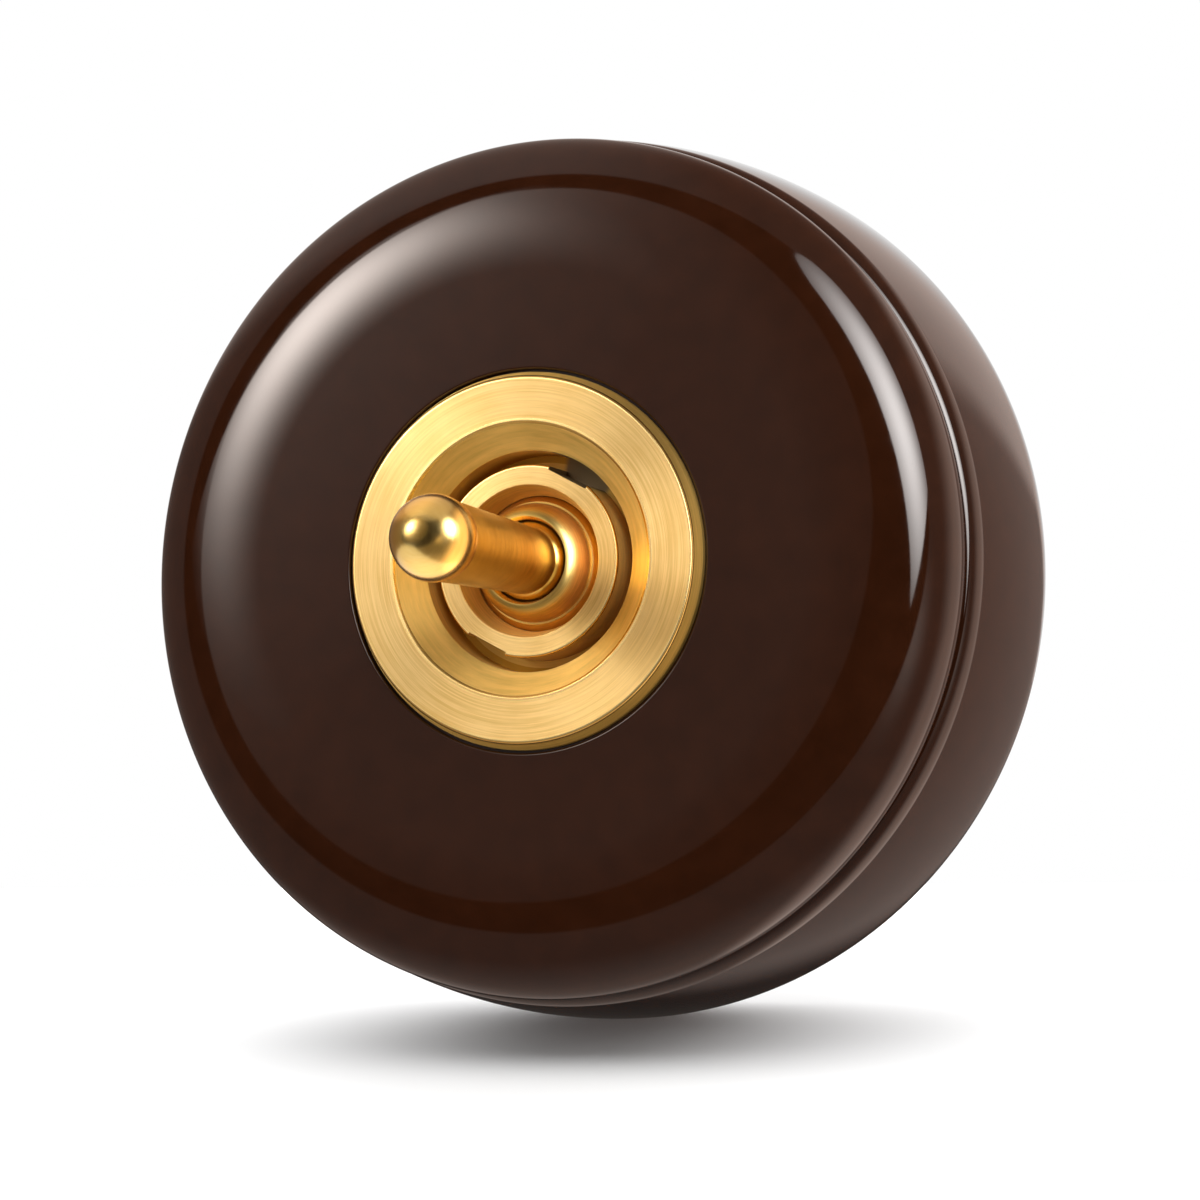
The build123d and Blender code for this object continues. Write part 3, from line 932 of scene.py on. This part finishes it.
def room_light(tree, right, up, off_front):
    """The room's level by direction: paler at the right, below and behind, glows up left and low right."""
    below = remap(tree, up, *floor_glow_end, floor_glow, 0.0)
    sunk = times(tree, calc(tree, "MAXIMUM", minus(tree, side_low_edge, up), 0.0), side_low_lean)
    risen = times(tree, calc(tree, "MAXIMUM", minus(tree, up, side_high_edge), 0.0), side_high_lean)
    leaned = plus(tree, right, plus(tree, sunk, risen))
    side = remap(tree, leaned, *side_rise, 0.0, side_level, smooth=True)
    high = remap(tree, up, *left_glow_rise, 0.0, left_glow, smooth=True)
    glow = times(tree, high, remap(tree, right, *left_glow_end, 1.0, 0.0, smooth=True))
    near_x = calc(tree, "DIVIDE", minus(tree, right, low_glow_centre[0]), low_glow_reach)
    near_y = calc(tree, "DIVIDE", minus(tree, up, low_glow_centre[1]), low_glow_reach)
    low = times(tree, bell(tree, square_sum(tree, near_x, near_y)), low_glow)
    glow = plus(tree, glow, low)
    ahead = plus(tree, plus(tree, below, side), plus(tree, glow, room_level))
    rear = remap(tree, up, *rear_top_rise, rear_level, rear_top_level, smooth=True)
    return mix_values(tree, remap(tree, off_front, *rear_start, 0, 1, smooth=True), ahead, rear)


def panel_light(tree, right, up):
    """The grey panel's level by direction: brighter round the hot spot."""
    inward, along = turned_pair(tree, right, up, skirt_centre, skirt_turn)
    fall = calc(tree, "EXPONENT", calc(tree, "DIVIDE", calc(tree, "MINIMUM", inward, 0.0), skirt_depth))
    share = calc(tree, "DIVIDE", along, skirt_width)
    skirt = times(tree, times(tree, fall, bell(tree, times(tree, share, share))), skirt_level)
    return plus(tree, skirt, panel_level)


def cone_share(tree, direction, aim, angle):
    """1 close to a direction and 0 beyond an angle from it."""
    ahead = add_node(tree, "VectorMath", operation="DOT_PRODUCT")
    feed(tree, ahead.inputs[0], direction)
    ahead.inputs[1].default_value = aim.normalized()
    start = cos(radians(angle))
    full = cos(radians(angle / 2))
    return remap(tree, ahead.outputs["Value"], start, full, 0, 1, smooth=True)


def build_world():
    """Dim studio with a grey panel, a dark surround and a paler, warmer room; the backdrop is white."""
    world = bpy.data.worlds.new("studio")
    bpy.context.scene.world = world
    world.use_nodes = True
    tree = world.node_tree
    direction = add_node(tree, "TexCoord").outputs["Generated"]
    x, y, z = parts_of(tree, direction)
    angle = calc(tree, "ARCCOSINE", times(tree, y, -1.0))
    off_front = times(tree, angle, degrees(1))
    spread = calc(tree, "DIVIDE", off_front, calc(tree, "MAXIMUM", calc(tree, "SINE", angle), 0.001))
    right = times(tree, spread, x)
    up = times(tree, spread, z)
    level = room_light(tree, right, up, off_front)
    level = mix_values(tree, ellipse_share(tree, right, up, surround), level, surround_level)
    level = mix_values(tree, ellipse_share(tree, right, up, panel), level, panel_light(tree, right, up))
    level = mix_values(tree, cone_share(tree, direction, toe_aim, toe_angle), level, toe_level)
    backdrop = cone_share(tree, direction, camera_aim, backdrop_angle)
    backdrop = times(tree, backdrop, remap(tree, z, 0.0, backdrop_rise, 0, 1, smooth=True))
    path = add_node(tree, "LightPath").outputs
    mirrored = calc(tree, "MAXIMUM", path["Is Glossy Ray"], path["Is Transmission Ray"])
    seen = calc(tree, "MAXIMUM", path["Is Camera Ray"], times(tree, mirrored, backdrop))
    background = tree.nodes["Background"]
    aside = times(tree, remap(tree, off_front, *warm_rise, 0, 1, smooth=True), path["Is Glossy Ray"])
    warmth = calc(tree, "MAXIMUM", minus(tree, aside, seen), 0.0)
    feed(tree, background.inputs["Color"], blend_colours(tree, warmth, neutral, warm_room))
    feed(tree, background.inputs["Strength"], mix_values(tree, seen, level, 1.0))


def toward(right, up):
    """Unit vector of a direction given by its angles from the straight front view."""
    off_front = radians(hypot(right, up))
    share = sin(off_front) / max(off_front, on_axis)
    return Vector((radians(right) * share, -cos(off_front), radians(up) * share))


def add_panel(name, plan, group):
    """A soft area lamp that lights only one group of pieces, and through the floor."""
    data = bpy.data.lights.new(name, "AREA")
    data.shape = "ELLIPSE"
    data.size, data.size_y = [2 * lamp_distance * tan(radians(half)) for half in plan["half"]]
    data.energy = plan["level"] * pi * data.size * data.size_y * pi / 4
    data.color = plan["colour"]
    lamp = linked(name, data)
    aim = toward(plan["right"], plan["up"])
    lamp.location = aim * lamp_distance
    turn = (-aim).to_track_quat("-Z", "Y").to_matrix() @ Matrix.Rotation(radians(plan["tilt"]), 3, "Z")
    lamp.rotation_euler = turn.to_euler()
    lamp.visible_camera = False
    lamp.light_linking.receiver_collection = light_groups[group]
    lamp.light_linking.blocker_collection = light_groups["all"]
    soften_lamp(data, plan)


def soften_lamp(data, plan):
    """Makes a lamp brightest at its middle and cuts it off along straight edges."""
    data.use_nodes = True
    tree = data.node_tree
    x, y, _ = parts_of(tree, add_node(tree, "NewGeometry").outputs["Parametric"])
    across, along = [times(tree, minus(tree, value, 0.5), 2.0) for value in (x, y)]
    across_fall = times(tree, times(tree, across, across), -plan["fall"][0])
    along_fall = times(tree, times(tree, along, along), -plan["fall"][1])
    strength = calc(tree, "EXPONENT", plus(tree, across_fall, along_fall))
    for turn, cut in plan["cuts"]:
        first = times(tree, across, plan["half"][0] * cos(radians(turn)))
        second = times(tree, along, plan["half"][1] * sin(radians(turn)))
        reached = plus(tree, first, second)
        kept = remap(tree, reached, cut - cut_softness, cut + cut_softness, 1, 0, smooth=True)
        strength = times(tree, strength, kept)
    feed(tree, tree.nodes["Emission"].inputs["Strength"], strength)


def add_sun(name, angle, level, source, group=None):
    """A broad light that mirrors don't show, from a direction, for all pieces or one group of them."""
    data = bpy.data.lights.new(name, "SUN")
    data.angle = radians(angle)
    data.energy = level
    lamp = linked(name, data)
    lamp.rotation_euler = (-Vector(source)).to_track_quat("-Z", "Y").to_euler()
    lamp.visible_glossy = False
    if group:
        lamp.light_linking.receiver_collection = light_groups[group]


build_world()
for group, plans in lamps.items():
    for name, plan in plans.items():
        add_panel(name, plan, group)
add_sun("top_light", angle=150, level=5.0, source=(0.0, 0.4, 1.0))
add_sun("side_light", angle=40, level=4.0, source=(1.0, 0.35, 0.25), group="moulded")
bpy.context.scene.view_settings.view_transform = "Standard"
